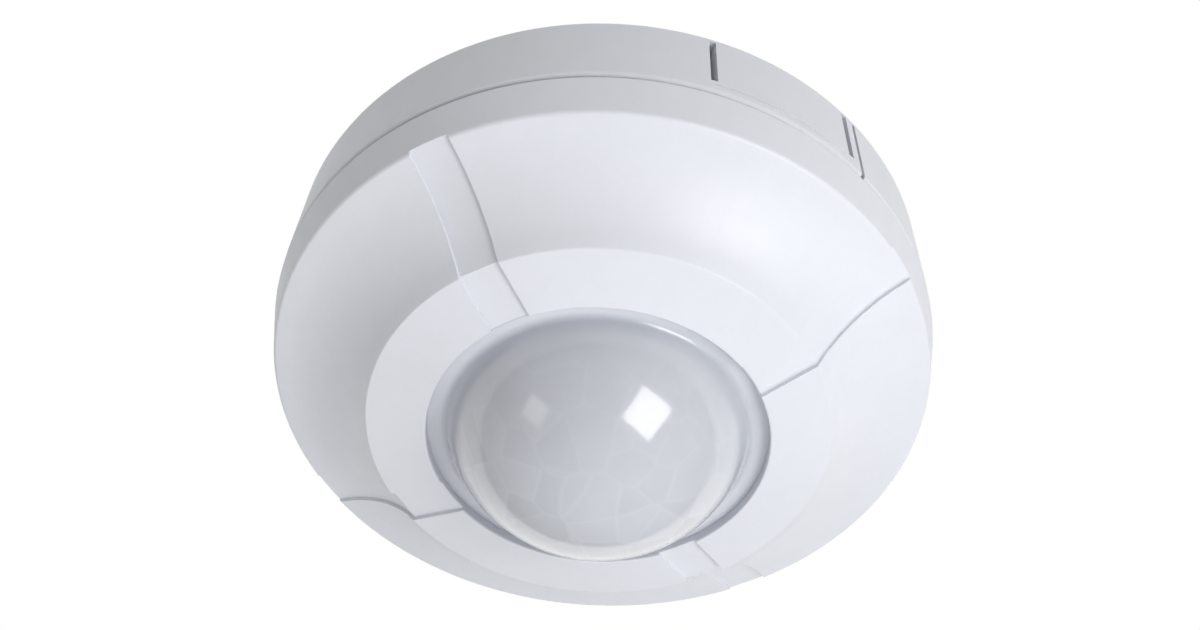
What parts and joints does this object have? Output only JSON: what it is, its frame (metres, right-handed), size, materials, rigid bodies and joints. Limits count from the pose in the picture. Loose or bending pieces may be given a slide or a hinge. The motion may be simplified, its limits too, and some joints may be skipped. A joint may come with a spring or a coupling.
{
  "type": "ceiling motion sensor",
  "caption": "Round white ceiling motion sensor: base ring, concave cover with a raised collar and shallow radial channels, and a translucent faceted lens dome.",
  "frame": {"origin": "centre of the back face, which lies against the ceiling", "axes": "-Z points down from the ceiling, out of the lens; the four front channels run along +X, +Y, -X and -Y"},
  "size_m": [0.106, 0.106, 0.0544],
  "materials": {
    "housing": "fine satin moulded white plastic",
    "lens": "glossy translucent white polyethylene with faint facets",
    "ring": "satin moulded white plastic",
    "steel": "zinc plated steel",
    "grommet": "soft black rubber",
    "board": "green solder mask over glass laminate",
    "spacer": "black moulded plastic",
    "can": "nickel plated steel can",
    "filter": "dark coated silicon window",
    "tin": "tinned leads",
    "lamp": "clear red resin",
    "photocell": "clear resin",
    "terminal": "green moulded plastic",
    "clamp": "nickel plated brass",
    "adjuster": "blue moulded plastic",
    "rotor": "white moulded plastic",
    "switch": "red moulded plastic",
    "switch_black": "black moulded plastic",
    "plunger": "orange moulded plastic",
    "relay": "black sealed plastic case",
    "film": "yellow box case",
    "sleeve": "black shrink sleeve over aluminium",
    "varistor": "dipped blue resin",
    "fuse": "brown moulded plastic",
    "epoxy": "black moulded epoxy",
    "ceramic": "chip ceramic with tinned ends"
  },
  "bodies": {
    "base_assembly": {"base": "housing", "cable_grommet": "grommet", "circuit_board": "board", "board_screws": "steel", "sensor_spacer": "spacer", "sensor_can": "can", "sensor_window": "filter", "sensor_leads": "tin", "status_lamp": "lamp", "light_sensor": "photocell", "terminal_housing": "terminal", "terminal_clamps": "clamp", "terminal_screws": "steel", "time_adjuster_body": "adjuster", "light_adjuster_body": "adjuster", "mode_switch_body": "switch", "tamper_switch_body": "switch_black", "relay": "relay", "film_capacitor": "film", "smoothing_capacitors": "sleeve", "varistor": "varistor", "fuse": "fuse", "rectifier": "epoxy", "controller": "epoxy", "controller_leads": "tin", "chip_components": "ceramic"},
    "cover_assembly": {"front_cover": "housing", "fresnel_lens": "lens", "lens_retainer": "ring", "retainer_screws": "steel"},
    "tamper_plunger": {"tamper_plunger": "plunger"},
    "time_rotor": {"time_adjuster_rotor": "rotor"},
    "light_rotor": {"light_adjuster_rotor": "rotor"},
    "mode_slider_1": {"mode_slider_1": "rotor"},
    "mode_slider_2": {"mode_slider_2": "rotor"},
    "mode_slider_3": {"mode_slider_3": "rotor"},
    "mode_slider_4": {"mode_slider_4": "rotor"}
  },
  "joints": [
    {"name": "cover_pull", "type": "slide", "parent": "base_assembly", "child": "cover_assembly", "axis": [0, 0, -1], "range_m": [0, 0.045]},
    {"name": "tamper_press", "type": "slide", "parent": "base_assembly", "child": "tamper_plunger", "axis": [0, 0, 1], "range_m": [0, 0.0009], "stiffness_N_per_m": 200},
    {"name": "time_turn", "type": "hinge", "parent": "base_assembly", "child": "time_rotor", "pos_m": [-0.025, -0.011, -0.02], "axis": [0, 0, -1], "range_deg": [-135, 135]},
    {"name": "light_turn", "type": "hinge", "parent": "base_assembly", "child": "light_rotor", "pos_m": [-0.0146, -0.0175, -0.02], "axis": [0, 0, -1], "range_deg": [-135, 135]},
    {"name": "mode_slide_1", "type": "slide", "parent": "base_assembly", "child": "mode_slider_1", "axis": [0, 1, 0], "range_m": [0, 0.0016]},
    {"name": "mode_slide_2", "type": "slide", "parent": "base_assembly", "child": "mode_slider_2", "axis": [0, 1, 0], "range_m": [0, 0.0016]},
    {"name": "mode_slide_3", "type": "slide", "parent": "base_assembly", "child": "mode_slider_3", "axis": [0, 1, 0], "range_m": [0, 0.0016]},
    {"name": "mode_slide_4", "type": "slide", "parent": "base_assembly", "child": "mode_slider_4", "axis": [0, 1, 0], "range_m": [0, 0.0016]}
  ]
}
